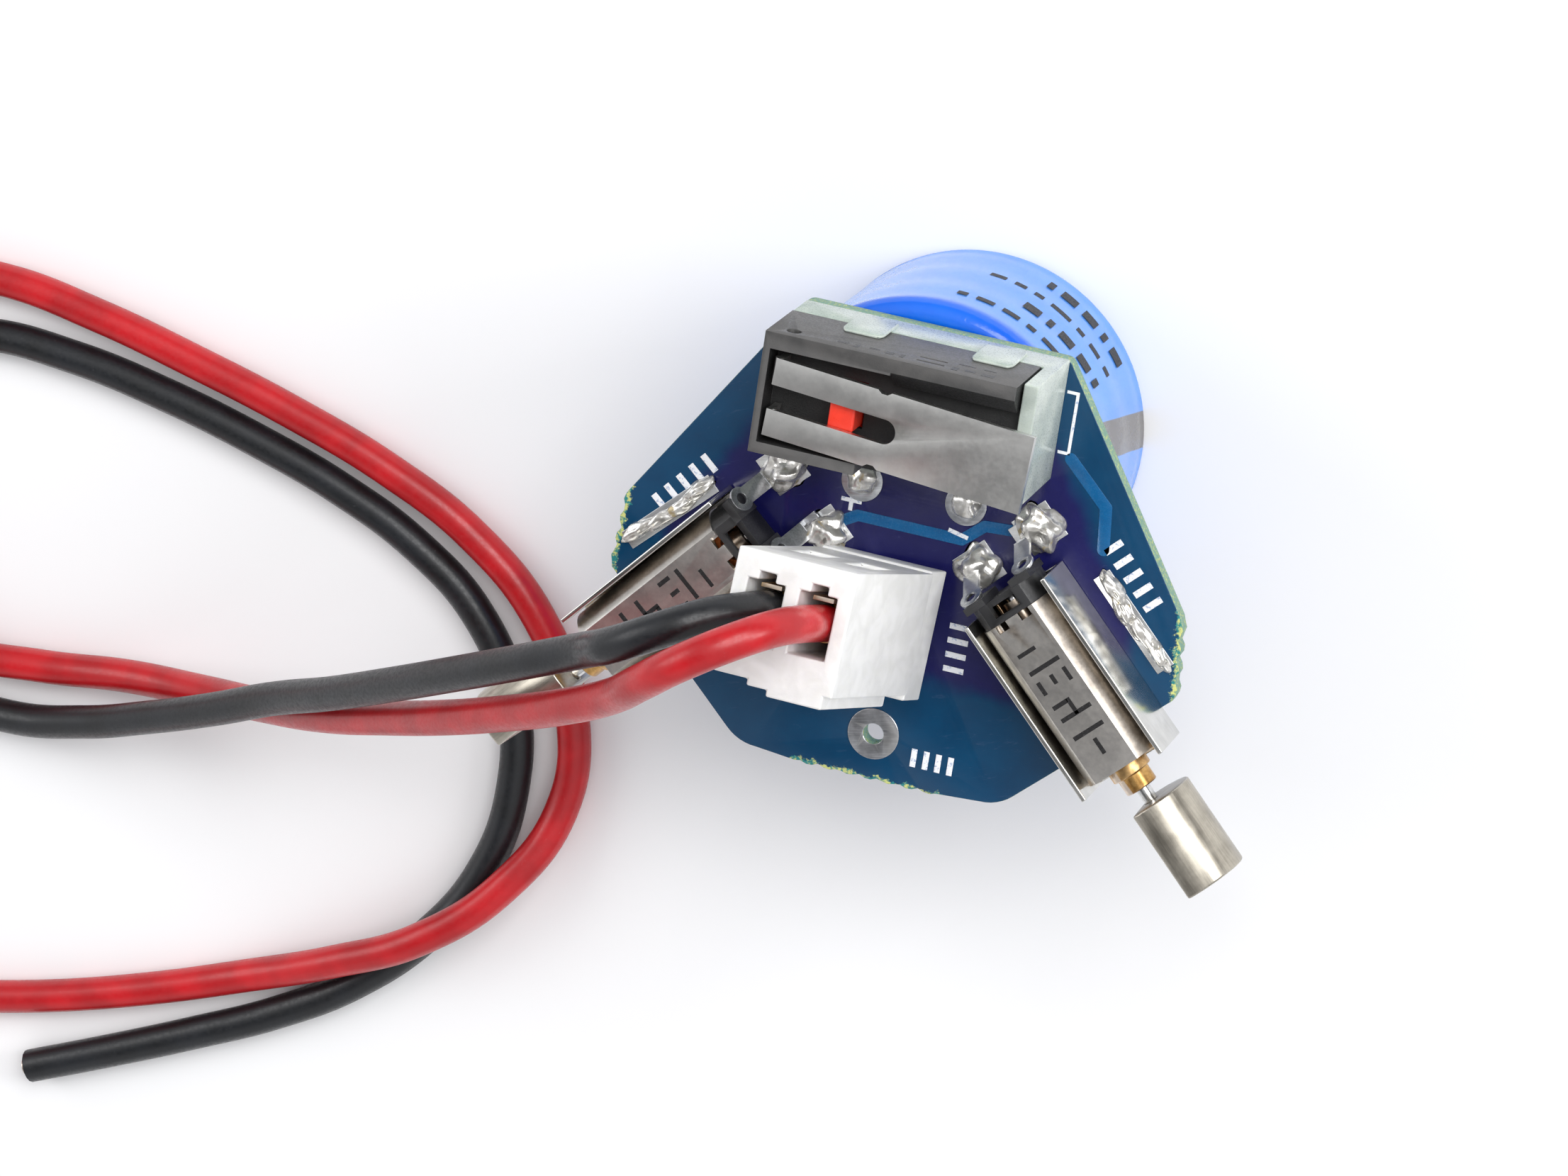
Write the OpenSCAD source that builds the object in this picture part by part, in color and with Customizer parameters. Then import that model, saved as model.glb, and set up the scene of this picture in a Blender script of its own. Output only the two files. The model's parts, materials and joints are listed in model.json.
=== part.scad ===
// Small vibration robot board: two eccentric-weight motors, a supercapacitor, a lever switch
// and a two-way connector with flying leads. Millimetres, +Z up. The origin is the middle of the
// capacitor's flat end, which the board stands on, and +Y points to the switch.

/* [Board] */
// Thickness of the circuit board
board_t = 0.8; // [0.6:0.1:1.6]
// Half width of the edge behind the switch
edge_half = 6.4; // [6.2:0.1:7]
// Half width across the shoulders
shoulder_half = 13.5; // [13:0.1:15]
// Radius of the plated hole for the tail wire
tail_r = 0.5; // [0.4:0.05:0.8]

/* [Capacitor] */
// Outer radius over the sleeve
cap_r = 8.25; // [7.5:0.05:9]
// Height of the capacitor
cap_h = 11.5; // [9:0.5:16]
// Gap between capacitor and board
cap_gap = 0.2; // [0.1:0.1:1]

/* [Switch] */
// Length of the switch
switch_l = 12.8; // [12.6:0.1:13]
// Width of the switch
switch_w = 5.8; // [5.6:0.1:6]
// Height of the switch body
switch_h = 6.4; // [6.3:0.1:6.6]

/* [Motors] */
// Radius of the motor can before its flats
can_r = 2; // [1.9:0.05:2]
// Height of the can between its flats
can_h = 3.2; // [3.1:0.1:3.3]
// Shaft radius
shaft_r = 0.35; // [0.3:0.05:0.4]
// Radius of the eccentric weight
weight_r = 2; // [1.8:0.05:2.1]
// Length of the eccentric weight
weight_l = 4.6; // [3.5:0.1:5]

/* [Connector] */
// Distance between the two ways
pitch = 2.54; // [2.5:0.02:2.54]
// Width of the plug across its two ways
plug_w = 5.8; // [5.6:0.1:6]
// Height of header and plug together
plug_top = 13.3; // [12:0.1:14]

/* [Leads] */
// Outer radius of a lead's insulation
lead_r = 0.85; // [0.7:0.05:0.9]
// Radius of its stranded core
core_r = 0.45; // [0.3:0.05:0.5]

/* [Hidden] */
$fn = 64;
eps = 0.01;

// Board: its own zero is on the symmetry line, on the component side
board_top = cap_h + cap_gap + board_t;
board_at = [0.3, -3.65, board_top];
board_back = 10.92;
board_front = -11.04;
mark_t = 0.03;
pad_t = 0.06;
cap_lead_at = [0.1, 3];
cap_lead_half = pitch;
tail_at = [0, -9];
tail_pad_r = 1.25;

// Switch, about the middle of its footprint
switch_at = [0, 8.05];
base_h = 2.2;
end_wall = 0.7;
case_x1 = switch_l / 2 - end_wall - 0.1;
ceiling = 4.6;
lever_t = 0.3;
lever_pivot = [-5.6, 6.1];
lever_rise = 4.5;
lever_half = 1.86;
slot_half = 0.58;
// Sideways shift and turn of the lever in its bearings
lever_skew = [-0.13, -2.9];
plunger_x = -2.3;
blade_pivot = [3.5, 3.3];
blade_tip = -4.2;
terminal_x = [-5.08, 0, 5.08];

// Motor stations, about the middle of the clip on the board: place and heading
motor_a_at = [-10.05, -3.85];
motor_a_turn = 229.5;
motor_b_at = [9.35, -3.6];
motor_b_turn = -45;
// The pads are laid out evenly; motor A was soldered a few degrees askew on its own
pads_a_at = [-motor_b_at[0], motor_b_at[1]];
pads_a_turn = 180 - motor_b_turn;
clip_t = 0.25;
clip_half = 4.85;
clip_w = 2.35;
clip_h = 3.3;
axis_z = clip_t + can_h / 2;
can_x0 = -4.15;
can_x1 = 4.45;
can_bore = 1.45;
boss_r = 0.9;
boss_x1 = 5.85;
tube_r = 0.5;
run_gap = 0.02;
weight_x0 = 6.6;
weight_flat = 0.6;
weight_turn = -3;
lug_y = 1.5;

// Connector: it leans towards the switch, as it was soldered
plug_at = [-0.05, -6.85, board_top + 0.7];
plug_lean = [-14, -5];
header_z0 = 0.27;
header_h = 2.5;
plug_z0 = 2.6;
plug_front = -2.9;
plug_back = 2.85;
cavity_w = 1.8;
pin_w = 0.64;
core_z0 = 9.9;
lead_z0 = 11.5;

// Leads, from the plug to their cut ends
black_route = [
    [-2.4, -3.85, 24.2], [-2.55, -3.44, 25.84], [-3.15, -3.34, 27.08], [-4.26, -3.54, 28.21],
    [-5.62, -4.16, 28.91], [-8.3, -5.8, 28.41], [-10.1, -7.06, 26.36], [-13.63, -9.16, 24],
    [-17.69, -11.61, 20.97], [-21.92, -14.21, 17.44], [-26.17, -16.78, 13.75], [-30.14, -19, 10.35],
    [-34.09, -21.31, 7.65], [-38.2, -23.45, 5.2], [-42.4, -25.35, 3.1], [-47, -26.65, 1.5],
    [-51.8, -26.45, 0.9], [-56.4, -24.55, 0.9], [-59.9, -21.05, 0.9], [-61, -16.45, 0.9],
    [-59.5, -11.85, 0.9], [-55.8, -8.75, 0.9], [-51, -7.35, 0.9], [-46, -7.45, 0.9], [-41, -8.25, 0.9],
    [-36, -9.45, 0.9], [-31.2, -10.95, 0.9], [-27, -12.85, 0.9], [-23.4, -15.55, 0.9], [-21, -19.45, 0.9],
    [-20.3, -24.05, 0.9], [-21.2, -28.65, 0.9], [-23.6, -32.75, 0.9], [-27, -36.25, 0.9],
    [-31, -38.95, 0.9], [-35.2, -41.15, 0.9], [-39.5, -43.25, 0.9], [-43.8, -45.25, 0.9]];
red_route = [
    [0.2, -3.85, 24.4], [0.05, -3.44, 26.04], [-0.05, -2.93, 28.1], [-0.55, -2.81, 29.47],
    [-1.96, -3.32, 31.09], [-4.09, -4.69, 31.64], [-6.34, -6.66, 30.16], [-8.15, -8.39, 27.82],
    [-11.18, -10.47, 25.06], [-14.96, -12.75, 21.57], [-19.04, -15.05, 17.85], [-23.21, -17.24, 13.93],
    [-27.43, -19.24, 10.25], [-31.8, -20.85, 6.6], [-36.3, -22.05, 3.6], [-40.9, -22.85, 1.9],
    [-45.6, -23.65, 1.3], [-50.2, -23.75, 1.6], [-54.6, -22.05, 2.3], [-58.2, -18.95, 2.8],
    [-60.9, -15.05, 2.8], [-62.1, -10.55, 1.9], [-59.8, -6.65, 1], [-55.4, -4.85, 0.9], [-50.2, -4.35, 0.9],
    [-45, -5.05, 0.9], [-39.6, -6.25, 0.9], [-34.2, -7.65, 0.9], [-29, -9.35, 0.9], [-24.2, -11.65, 0.9],
    [-20.2, -15.05, 0.9], [-17.8, -19.55, 0.9], [-17.6, -24.55, 1.1], [-19.8, -28.95, 2.3],
    [-23.4, -32.35, 2.8], [-27.9, -34.95, 2.1], [-32.8, -37.35, 1], [-38, -39.45, 0.9],
    [-43.4, -41.25, 0.9], [-48.8, -42.65, 0.9]];
lead_sides = 8;

// Colours
mask_blue = [0.02, 0.1, 0.28];
trace_blue = [0.03, 0.26, 0.45];
tin = [0.75, 0.75, 0.74];
steel = [0.62, 0.62, 0.6];
white = [0.93, 0.93, 0.92];
brass = [0.75, 0.55, 0.25];

// ---- helpers ----

function unit(v) = v / norm(v);

// Round one corner of an outline with an arc of radius r
function corner(before, at, after, r, n = 6) =
    let (
        u = unit(before - at),
        v = unit(after - at),
        half = acos(u * v) / 2,
        c = at + unit(u + v) * r / sin(half),
        p = at + u * r / tan(half) - c,
        q = at + v * r / tan(half) - c,
        a0 = atan2(p[1], p[0]),
        turn = (atan2(q[1], q[0]) - a0 + 540) % 360 - 180
    )
    [for (i = [0 : n]) c + r * [cos(a0 + turn * i / n), sin(a0 + turn * i / n)]];

// Ragged points from p to q where a tab was snapped off, standing out by up to depth
function torn(p, q, n, depth) =
    let (out = unit([q[1] - p[1], p[0] - q[0]]))
    [for (i = [0 : n]) p + (q - p) * i / n + out * depth * (0.35 + 0.65 * abs(sin(i * 127 + p[0] * 40)))];

// Sideways directions along a route, each turned as little as possible from the one before
function carry(dirs, side, i = 0) = i == len(dirs) ? [] :
    let (now = unit(side - dirs[i] * (side * dirs[i])))
    concat([now], carry(dirs, now, i + 1));

// Sweep a round tube along a list of points
module tube(route, r) {
    last = len(route) - 1;
    dirs = [for (i = [0 : last]) unit(route[min(i + 1, last)] - route[max(i - 1, 0)])];
    sides = carry(dirs, [1, 0, 0]);
    points = [for (i = [0 : last], k = [0 : lead_sides - 1])
        route[i] + r * (cos(360 * k / lead_sides) * sides[i]
            + sin(360 * k / lead_sides) * cross(dirs[i], sides[i]))];
    walls = [for (i = [0 : last - 1], k = [0 : lead_sides - 1])
        let (a = i * lead_sides, j = (k + 1) % lead_sides)
        [a + k, a + lead_sides + k, a + lead_sides + j, a + j]];
    near_end = [for (k = [0 : lead_sides - 1]) k];
    far_end = [for (k = [lead_sides - 1 : -1 : 0]) last * lead_sides + k];
    polyhedron(points = points, faces = concat([near_end], walls, [far_end]), convexity = 10);
}

module box(low, high) {
    translate(low) cube(high - low);
}

module rod(x0, x1, r) {
    translate([x0, 0, 0]) rotate([0, 90, 0]) cylinder(r = r, h = x1 - x0);
}

module pipe(x0, x1, outer, inner) {
    difference() {
        rod(x0, x1, outer);
        rod(x0 - 1, x1 + 1, inner);
    }
}

// A flat track with round joints
module track(points, width, height) {
    for (i = [0 : len(points) - 2]) {
        step = points[i + 1] - points[i];
        translate(points[i]) rotate(atan2(step[1], step[0]))
            translate([0, -width / 2, 0]) cube([norm(step), width, height]);
    }
    for (p = points) translate(p) cylinder(r = width / 2, h = height, $fn = 24);
}

module on_board() {
    translate(board_at) children();
}

module on_motor(at, turn, flip) {
    on_board() translate([at[0], at[1], 0]) rotate(turn) mirror([0, flip, 0]) children();
}

module on_axis() {
    translate([0, 0, axis_z]) children();
}

module on_switch() {
    on_board() translate([switch_at[0], switch_at[1], 0]) children();
}

module on_connector() {
    translate(plug_at) rotate([plug_lean[0], 0, 0]) rotate([0, plug_lean[1], 0]) children();
}

// Where a header pin crosses the middle of the board
function pin_cross(x) =
    let (
        ex = [cos(plug_lean[1]), sin(plug_lean[0]) * sin(plug_lean[1]),
            -cos(plug_lean[0]) * sin(plug_lean[1])],
        n = [sin(plug_lean[1]), -sin(plug_lean[0]) * cos(plug_lean[1]),
            cos(plug_lean[0]) * cos(plug_lean[1])],
        start = plug_at + x * ex
    )
    start + n * (board_top - board_t / 2 - start[2]) / n[2];

// ---- board ----

function board_outline() =
    let (
        back_r = [edge_half, board_back],
        back_l = [-edge_half, board_back],
        up_l = [-shoulder_half + 0.15, 0],
        low_l = [-shoulder_half - 0.15, -4],
        front_l = [-6.45, board_front],
        front_r = [6.45, board_front],
        low_r = [shoulder_half + 0.15, -4],
        up_r = [shoulder_half - 0.15, 0]
    )
    concat(
        corner(up_r, back_r, back_l, 0.5),
        corner(back_r, back_l, up_l, 0.5),
        torn(up_l, low_l, 14, 0.35),
        corner(low_l, front_l, front_r, 2.2),
        torn([-3.6, board_front], [3.4, board_front], 24, 0.25),
        corner(front_l, front_r, low_r, 2.2),
        torn(low_r, up_r, 14, 0.35));

module circuit_board() {
    color(mask_blue) difference() {
        translate([board_at[0], board_at[1], board_top - board_t])
            linear_extrude(board_t) polygon(board_outline());
        translate([0, 0, -board_t - 1]) on_board() {
            translate(tail_at) cylinder(r = tail_r, h = board_t + 2);
            for (side = [-1, 1])
                translate([cap_lead_at[0] + side * cap_lead_half, cap_lead_at[1], 0])
                    cylinder(r = 0.6, h = board_t + 2);
            for (x = terminal_x)
                translate([switch_at[0] + x, switch_at[1], 0]) cylinder(r = 0.75, h = board_t + 2);
        }
        for (side = [-1, 1])
            translate(pin_cross(side * pitch / 2) - [0, 0, board_t]) cylinder(r = 0.62, h = 2 * board_t);
    }
}

module board_traces() {
    color(trace_blue) on_board() {
        track([[-3.4, 0.7], [-2.4, 1.3], [2.7, 1.3], [3.7, 2.2], [5.2, 2.3]], 0.55, mark_t);
        track([[7.2, 6.3], [9.2, 4.4], [9.4, 2.4]], 0.6, mark_t);
        track([[-5.4, 3.3], [-4.6, 4.3], [-4.6, 4.9]], 0.5, mark_t);
    }
}

// Tinned pads: four for the motor lugs, one beside and one under each clip, two round ones for the
// capacitor
module solder_pads() {
    color(tin) {
        for (m = [[pads_a_at, pads_a_turn, 1], [motor_b_at, motor_b_turn, 0]])
            on_motor(m[0], m[1], m[2]) {
                box([-7.6, 1.3, 0], [-5.7, 3.3, pad_t]);
                box([-7.6, -2.2, 0], [-5.7, -0.3, pad_t]);
                box([-3.3, 3.05, 0], [2, 4, pad_t]);
                box([-3.6, -1.7, 0], [3.2, 1.7, pad_t]);
            }
        on_board() for (side = [-1, 1])
            translate([cap_lead_at[0] + side * cap_lead_half, cap_lead_at[1], 0]) difference() {
                cylinder(r = 1, h = pad_t);
                translate([0, 0, -1]) cylinder(r = 0.6, h = 3);
            }
    }
}

// Wide tinned ring round the tail hole
module tail_pad() {
    color(tin) on_board() translate(tail_at) difference() {
        cylinder(r = tail_pad_r, h = pad_t);
        translate([0, 0, -1]) cylinder(r = tail_r, h = 3);
    }
}

module bar_row(from, step, n, size) {
    for (i = [0 : n - 1])
        translate(from + step * i) translate([-size[0] / 2, -size[1] / 2, 0]) cube([size[0], size[1], mark_t]);
}

// Printed marks: polarity signs, the switch outline and plain bars
module board_marks() {
    color(white) on_board() {
        translate([-2.8, 1.95, 0]) for (turn = [0, 90]) rotate(turn) box([-0.5, -0.1, 0], [0.5, 0.1, mark_t]);
        translate([2.5, 1.55, mark_t]) rotate(-12) box([-0.5, -0.1, 0], [0.5, 0.1, mark_t]);
        box([6.5, 9.35, 0], [7.1, 9.5, mark_t]);
        box([6.95, 6.6, 0], [7.1, 9.35, mark_t]);
        box([6.5, 6.45, 0], [7.1, 6.6, mark_t]);
        translate([-10.9, 0.9, 0]) rotate(49.5) bar_row([-1.6, 0], [0.8, 0], 5, [0.32, 1]);
        translate([11, 1.5, 0]) rotate(-45) bar_row([-1.6, 0], [0.8, 0], 5, [0.32, 1]);
        translate([3.3, -3.9, 0]) bar_row([0, -1.1], [0, 0.7], 4, [1, 0.28]);
        translate([3, -9.7, 0]) bar_row([-0.9, 0], [0.6, 0], 4, [0.28, 0.9]);
    }
}

module dome(r, h) {
    rotate_extrude() intersection() {
        translate([0, h / 2 - r * r / (2 * h)]) circle(r = r * r / (2 * h) + h / 2);
        square([r, h]);
    }
}

module solder_joints() {
    color(tin) {
        for (m = [[pads_a_at, pads_a_turn, 1], [motor_b_at, motor_b_turn, 0]])
            on_motor(m[0], m[1], m[2]) translate([0, 0, pad_t]) {
                translate([-6.75, 2.3, 0]) dome(0.95, 0.85);
                translate([-6.75, -1.3, 0]) dome(0.9, 0.8);
                for (x = [-2.7 : 0.9 : 1.6]) translate([x, 3.5, 0]) dome(0.44, 0.42);
            }
        on_board() for (side = [-1, 1])
            translate([cap_lead_at[0] + side * cap_lead_half, cap_lead_at[1] - 0.85, pad_t]) dome(0.4, 0.3);
    }
}

// ---- capacitor ----

module cap_ring(profile) {
    rotate_extrude($fn = 96) polygon(profile);
}

sleeve_t = 0.15;
sleeve_bend = 0.7;

// Half section of a cup: outer wall with a rounded foot, rolled over at the top
function cup(r, t, h, bend, lip) = concat(
    [[0, 0]],
    [for (a = [0 : 15 : 90]) [r - bend + bend * sin(a), bend - bend * cos(a)]],
    [for (a = [0 : 15 : 90]) [r - bend + bend * cos(a), h - bend + bend * sin(a)]],
    [[lip, h], [lip, h - t]],
    [for (a = [0 : 15 : 90]) [r - bend + (bend - t) * sin(a), h - bend + (bend - t) * cos(a)]],
    [for (a = [0 : 15 : 90]) [r - bend + (bend - t) * cos(a), bend - (bend - t) * sin(a)]],
    [[0, t]]);

module cap_sleeve() {
    color([0.1, 0.4, 0.9]) cap_ring(cup(cap_r, sleeve_t, cap_h, sleeve_bend, 6.9));
}

can_out = cap_r - sleeve_t;
can_wall = 0.3;
can_top = cap_h - sleeve_t;

module cap_can() {
    bend = sleeve_bend - sleeve_t;
    color([0.8, 0.8, 0.82]) translate([0, 0, sleeve_t]) cap_ring(concat(
        [[0, 0]],
        [for (a = [0 : 15 : 90]) [can_out - bend + bend * sin(a), bend - bend * cos(a)]],
        [for (a = [0 : 15 : 90])
            [can_out - bend + bend * cos(a), can_top - sleeve_t - bend + bend * sin(a)]],
        [[7.4, can_top - sleeve_t], [7.4, can_top - sleeve_t - can_wall],
            [can_out - can_wall, can_top - sleeve_t - 0.6], [can_out - can_wall, can_wall], [0, can_wall]]));
}

// Moulded insulator under the curled rim; its face is level with the rim
module cap_base() {
    color([0.12, 0.12, 0.13]) difference() {
        union() {
            translate([0, 0, cap_h - 1.7]) cylinder(r = 7.7, h = 0.9);
            translate([0, 0, cap_h - 0.85]) cylinder(r = 6.8, h = 0.8);
        }
        translate([board_at[0] + cap_lead_at[0], board_at[1] + cap_lead_at[1], cap_h - 3])
            for (side = [-1, 1]) translate([side * cap_lead_half, 0, 0]) cylinder(r = 0.5, h = 4);
    }
}

module cap_leads() {
    color(tin) translate([board_at[0] + cap_lead_at[0], board_at[1] + cap_lead_at[1], 0])
        for (side = [-1, 1]) translate([side * cap_lead_half, 0, 0])
            box([-0.4, -0.15, cap_h - 1.65], [0.4, 0.15, board_top + 0.15]);
}

// Six flat cells in a stack
module cap_cells() {
    cell_h = 1.4;
    color([0.25, 0.25, 0.25]) for (i = [0 : 5])
        translate([0, 0, sleeve_t + can_wall + 0.3 + i * (cell_h + 0.05)]) cylinder(r = 7.4, h = cell_h);
}

// ---- switch ----

module switch_base() {
    half = switch_l / 2;
    side = switch_w / 2;
    color([0.8, 0.82, 0.74]) difference() {
        union() {
            box([-half, -side, 0], [half, side, base_h]);
            box([half - end_wall, -side, base_h - eps], [half, side, 5.5]);
            for (x = [-2.6, 3.6]) {
                box([x - 1, side, base_h - 1.2], [x + 1, side + 0.15, 3.2]);
                translate([x, side, 3.2]) rotate([-90, 0, 0]) cylinder(r = 1, h = 0.15);
            }
        }
        for (x = terminal_x) box([x - 0.32, -0.65, -1], [x + 0.32, 0.65, base_h + 1]);
        for (x = [-2.6, 3.6]) box([x - 2, side - eps, 3.2 + 0.6], [x + 2, side + 1, 5]);
    }
}

module switch_case() {
    half = switch_l / 2;
    side = switch_w / 2;
    color([0.33, 0.33, 0.33]) difference() {
        box([-half, -side, base_h], [case_x1, side, switch_h]);
        box([-half + 0.6, -side + 0.6, base_h - 1], [case_x1 - 0.35, side - 0.6, ceiling]);
        // recess for the lever's two legs, and the lower open deck for its blade
        box([-half + 0.35, -2.35, 4.95], [-1.2, 2.1, switch_h + 1]);
        box([-1.3, -side - 1, 4.95], [case_x1 + 1, 1.5, switch_h + 1]);
        box([-1.3, 1, 4.95], [-0.3, 2.1, switch_h + 1]);
        translate([-0.3, 1.5 - eps, 5.6]) rotate([90, 0, 90]) linear_extrude(switch_l)
            polygon([[0, 0], [0.76, switch_h - 5.6 + eps], [0, switch_h - 5.6 + 1]]);
        box([plunger_x - 0.7, -1.1, ceiling - 1], [plunger_x + 0.7, 1.1, switch_h]);
        // sink mark in the back face
        translate([-5.3, side + 0.3, 5.5]) rotate([90, 0, 0]) cylinder(r = 0.35, h = 0.8, $fn = 24);
        translate([0.6, side - 0.12, 4.9]) box([0, 0, 0], [1.3, 1, 0.12]);
        translate([0.6, side - 0.12, 5.5]) box([0, 0, 0], [1.3, 1, 0.12]);
    }
}

// Pressed steel lever, drawn level with its hinge line as zero
module lever_plate() {
    neck_half = lever_half - 0.15;
    linear_extrude(lever_t) difference() {
        polygon([[-0.15, -lever_half], [4.9, -lever_half], [5.1, -neck_half], [5.4, -neck_half],
            [5.6, -lever_half], [12.6, -lever_half], [12.6, lever_half], [5.6, lever_half],
            [5.4, neck_half], [5.1, neck_half], [4.9, lever_half], [-0.15, lever_half]]);
        translate([-1, -slot_half]) square([6.55, 2 * slot_half]);
        translate([5.55, 0]) circle(r = slot_half);
    }
}

module switch_lever() {
    color(steel) on_switch() translate([lever_pivot[0], lever_skew[0], lever_pivot[1]]) {
        rotate([0, -lever_rise, lever_skew[1]]) lever_plate();
        for (y = [-lever_half, slot_half]) {
            rotate(lever_skew[1]) box([-0.15, y, -0.95], [0.15, y + lever_half - slot_half, 0.15]);
            translate([0, y, 0]) rotate([-90, 0, 0]) cylinder(r = 0.22, h = lever_half - slot_half, $fn = 32);
        }
    }
}

module switch_plunger() {
    color([0.8, 0.08, 0.03]) on_switch() {
        box([plunger_x - 0.62, -1, 4.2], [plunger_x + 0.62, 1, 6.28]);
        box([plunger_x - 1, -1.5, 4.1], [plunger_x + 1, 1.5, 4.5]);
        box([plunger_x - 0.4, -0.5, 3.42], [plunger_x + 0.4, 0.5, 4.15]);
    }
}

// Contact blade, which rocks on the common terminal at its right end
module switch_blade() {
    color(brass) on_switch() {
        box([blade_tip - 0.4, -0.6, blade_pivot[1] - 0.06], [blade_pivot[0], 0.6, blade_pivot[1] + 0.06]);
        translate([blade_tip, 0, blade_pivot[1] - 0.25]) cylinder(r = 0.4, h = 0.5);
    }
}

// Normally closed above the blade's tip, normally open below it, and common at the right
module switch_terminals() {
    low = -board_t + 0.05;
    color(brass) on_switch() {
        box([-5.23, -0.5, low], [-4.93, 0.5, 4.1]);
        box([-5.23, -0.5, 3.95], [-3.8, 0.5, 4.1]);
        translate([blade_tip, 0, 3.62]) cylinder(r = 0.4, h = 0.4);
        box([-0.15, -0.5, low], [0.15, 0.5, base_h + 0.15]);
        box([-4.6, -0.5, base_h], [0.15, 0.5, base_h + 0.15]);
        box([4.93, -0.5, low], [5.23, 0.5, base_h + 0.3]);
        box([3.3, -0.5, base_h], [5.23, 0.5, base_h + 0.3]);
        box([3.3, -0.5, base_h], [3.6, 0.5, blade_pivot[1] - 0.1]);
    }
}

// ---- motors, drawn along +X about the middle of the clip ----

module flat_can(x0, x1, r, h) {
    translate([x0, 0, 0]) rotate([90, 0, 90]) linear_extrude(x1 - x0) intersection() {
        circle(r = r);
        square([2 * r + 1, h], center = true);
    }
}

module motor_clip() {
    color(steel) {
        box([-clip_half, -clip_w, 0], [clip_half, clip_w, clip_t]);
        for (side = [-1, 1])
            box([-clip_half, min(side * clip_w, side * (clip_w - clip_t)), 0],
                [clip_half, max(side * clip_w, side * (clip_w - clip_t)), clip_h]);
    }
}

module motor_can() {
    color([0.78, 0.75, 0.7]) on_axis() difference() {
        flat_can(can_x0, can_x1, can_r, can_h);
        rod(can_x0 - 1, can_x1 - 0.3, can_bore);
        rod(can_x0, can_x1 + 1, tube_r + eps);
        for (y = [-0.95, 0.35]) box([can_x0 - 1, y, 1.2], [can_x0 + 0.4, y + 0.6, 2]);
    }
}

module motor_end_cap() {
    x0 = can_x0 - 1.1;
    color([0.07, 0.07, 0.08]) on_axis() difference() {
        union() {
            flat_can(x0, can_x0, can_r - 0.1, can_h - 0.2);
            for (y = [-1.85, 0.75]) box([x0 - 0.35, y, -0.9], [x0 + eps, y + 1.1, 1.45]);
        }
        box([x0 - 1, -0.7, 0.85], [can_x0 - 0.3, 0.7, 2]);
        rod(x0 + 0.3, can_x0 + 1, 1.25);
        rod(x0 + 0.1, can_x0 + 1, shaft_r + run_gap);
    }
}

// Bent lugs from the end cap down to the pads, each with a hole
module motor_lugs() {
    x0 = can_x0 - 1.45;
    color(tin) for (y = [-lug_y, lug_y]) {
        translate([x0 - 0.15, y, 2.35]) rotate([0, 25, 0]) difference() {
            union() {
                box([-0.15, -0.45, -1.9], [0, 0.45, 0]);
                rotate([0, -90, 0]) cylinder(r = 0.6, h = 0.15);
            }
            translate([-1, 0, 0]) rotate([0, 90, 0]) cylinder(r = 0.28, h = 2);
        }
        box([x0 - 1.8, y - 0.45, 0.08], [x0 - 0.75, y + 0.45, 0.23]);
        box([x0 - 1.12, y - 0.45, 0.08], [x0 - 0.97, y + 0.45, 0.7]);
    }
}

module motor_brushes() {
    color(brass) on_axis() for (side = [-1, 1])
        box([can_x0 - 0.75, side * 0.75 - 0.07, -0.35], [can_x0 - 0.05, side * 0.75 + 0.07, 0.35]);
}

module motor_bearing() {
    color(brass) on_axis() difference() {
        union() {
            rod(can_x1, can_x1 + 0.6, boss_r + 0.1);
            rod(can_x1, boss_x1, boss_r - 0.1);
            rod(-1.5, can_x1 + eps, tube_r);
        }
        rod(-3, boss_x1 + 1, shaft_r + run_gap);
    }
}

module motor_magnet() {
    color([0.35, 0.35, 0.37]) on_axis() pipe(-2.6, 4.1, 1, tube_r + eps);
}

module motor_coil() {
    color([0.7, 0.35, 0.15]) on_axis() {
        pipe(-3.2, 3.4, 1.36, 1.12);
        pipe(-3.5, -3.19, 1.36, shaft_r + eps);
    }
}

module motor_commutator() {
    color(brass) on_axis() pipe(-4.7, -3.5, 0.58, shaft_r + eps);
}

module motor_shaft() {
    color([0.7, 0.7, 0.7]) on_axis() rod(-5.05, weight_x0 + weight_l - 0.6, shaft_r);
}

// Half-round weight that hangs off the shaft's far end
module motor_weight() {
    color([0.62, 0.58, 0.52]) on_axis() rotate([weight_turn, 0, 0]) difference() {
        rod(weight_x0, weight_x0 + weight_l, weight_r);
        box([weight_x0 - 1, -weight_r - 1, -weight_r - 1],
            [weight_x0 + weight_l + 1, -weight_flat, weight_r + 1]);
        rod(weight_x0 - 1, weight_x0 + weight_l - 0.6 + eps, shaft_r + eps);
    }
}

module motor_piece(name) {
    if (name == "clip") motor_clip();
    if (name == "can") motor_can();
    if (name == "end_cap") motor_end_cap();
    if (name == "lugs") motor_lugs();
    if (name == "brushes") motor_brushes();
    if (name == "bearing") motor_bearing();
    if (name == "magnet") motor_magnet();
    if (name == "coil") motor_coil();
    if (name == "commutator") motor_commutator();
    if (name == "shaft") motor_shaft();
    if (name == "weight") motor_weight();
}

module motor_a(name) {
    on_motor(motor_a_at, motor_a_turn, 1) translate([0, 0, pad_t]) motor_piece(name);
}

module motor_b(name) {
    on_motor(motor_b_at, motor_b_turn, 0) translate([0, 0, pad_t]) motor_piece(name);
}

// ---- connector ----

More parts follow.
